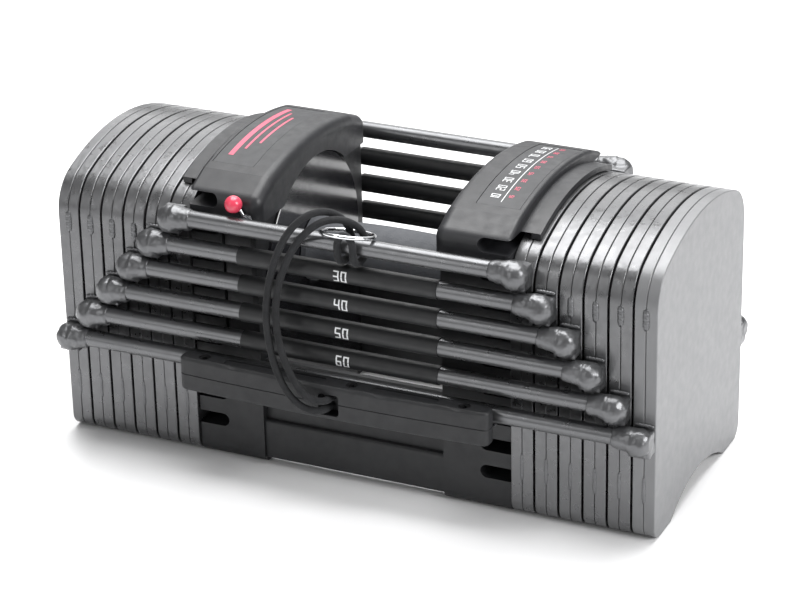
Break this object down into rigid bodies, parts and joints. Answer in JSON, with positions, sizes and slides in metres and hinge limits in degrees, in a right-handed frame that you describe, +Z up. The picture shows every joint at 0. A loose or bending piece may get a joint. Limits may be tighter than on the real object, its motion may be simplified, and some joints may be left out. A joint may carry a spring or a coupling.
{
  "type": "adjustable dumbbell",
  "caption": "Nested-block adjustable dumbbell: arched steel plate frames around a padded handle core, with a tethered selector pin, a wire lock lever and a load scale.",
  "frame": {"origin": "centre of the footprint on the floor, bottom of the plate feet at Z = 0", "axes": "+X along the grip and rails, +Y towards the back, away from the selector bar, +Z up"},
  "size_m": [0.3502, 0.196, 0.172],
  "materials": {
    "weight_paint": "hammered satin metallic paint",
    "rail_paint": "satin metallic paint",
    "sleeve_black": "satin",
    "block_black": "satin moulded plastic",
    "cover_black": "fine grained satin plastic",
    "label_dark": "printed film",
    "plate_gloss": "gloss",
    "steel": "satin",
    "steel_dark": "satin",
    "steel_bright": "polished",
    "grip_rubber": "matte",
    "knob_red": "gloss",
    "bar_black": "satin moulded plastic",
    "screw_black": "black oxide",
    "cord_black": "braided elastic cord"
  },
  "bodies": {
    "dumbbell": {"weight_1_plates_left": "weight_paint", "weight_1_plates_right": "weight_paint", "weight_1_front_rail": "rail_paint", "weight_1_back_rail": "rail_paint", "weight_1_rail_lugs": "rail_paint", "weight_2_plates_left": "weight_paint", "weight_2_plates_right": "weight_paint", "weight_2_front_rail": "rail_paint", "weight_2_back_rail": "rail_paint", "weight_2_rail_lugs": "rail_paint", "weight_2_load_sleeves": "sleeve_black", "weight_3_plates_left": "weight_paint", "weight_3_plates_right": "weight_paint", "weight_3_front_rail": "rail_paint", "weight_3_back_rail": "rail_paint", "weight_3_rail_lugs": "rail_paint", "weight_3_load_sleeves": "sleeve_black", "weight_4_plates_left": "weight_paint", "weight_4_plates_right": "weight_paint", "weight_4_front_rail": "rail_paint", "weight_4_back_rail": "rail_paint", "weight_4_rail_lugs": "rail_paint", "weight_4_load_sleeves": "sleeve_black", "weight_5_plates_left": "weight_paint", "weight_5_plates_right": "weight_paint", "weight_5_front_rail": "rail_paint", "weight_5_back_rail": "rail_paint", "weight_5_rail_lugs": "rail_paint", "weight_5_load_sleeves": "sleeve_black", "weight_6_plates_left": "weight_paint", "weight_6_plates_right": "weight_paint", "weight_6_front_rail": "rail_paint", "weight_6_back_rail": "rail_paint", "weight_6_rail_lugs": "rail_paint", "end_block_left": "block_black", "end_block_right": "block_black", "top_cover_left": "cover_black", "top_cover_right": "cover_black", "stripe_label_left": "label_dark", "load_scale_right": "label_dark", "inner_plate_left": "plate_gloss", "inner_plate_right": "plate_gloss", "grip_tube": "steel", "grip_sleeve": "grip_rubber", "front_spreader": "block_black", "back_spreader": "block_black", "adder_weight_left": "steel_dark", "adder_weight_right": "steel_dark", "lever_pivot_screw": "steel", "tether_ring": "steel_bright"},
    "selector_pin": {"selector_bar_upper": "bar_black", "selector_bar_lower": "bar_black", "selector_prong_left": "steel", "selector_prong_right": "steel", "selector_bar_screws": "screw_black", "tether_cord": "cord_black"},
    "lock_lever": {"lock_lever_left": "steel", "lock_knob_left": "knob_red"}
  },
  "joints": [
    {"name": "selector_slide", "type": "slide", "parent": "dumbbell", "child": "selector_pin", "axis": [0, -1, 0], "range_m": [0, 0.185], "deforming": ["tether_cord"]},
    {"name": "lock_lever_pivot", "type": "hinge", "parent": "dumbbell", "child": "lock_lever", "pos_m": [-0.0575, -0.0691, 0.1475], "axis": [0, 1, 0], "range_deg": [0, 75]}
  ]
}
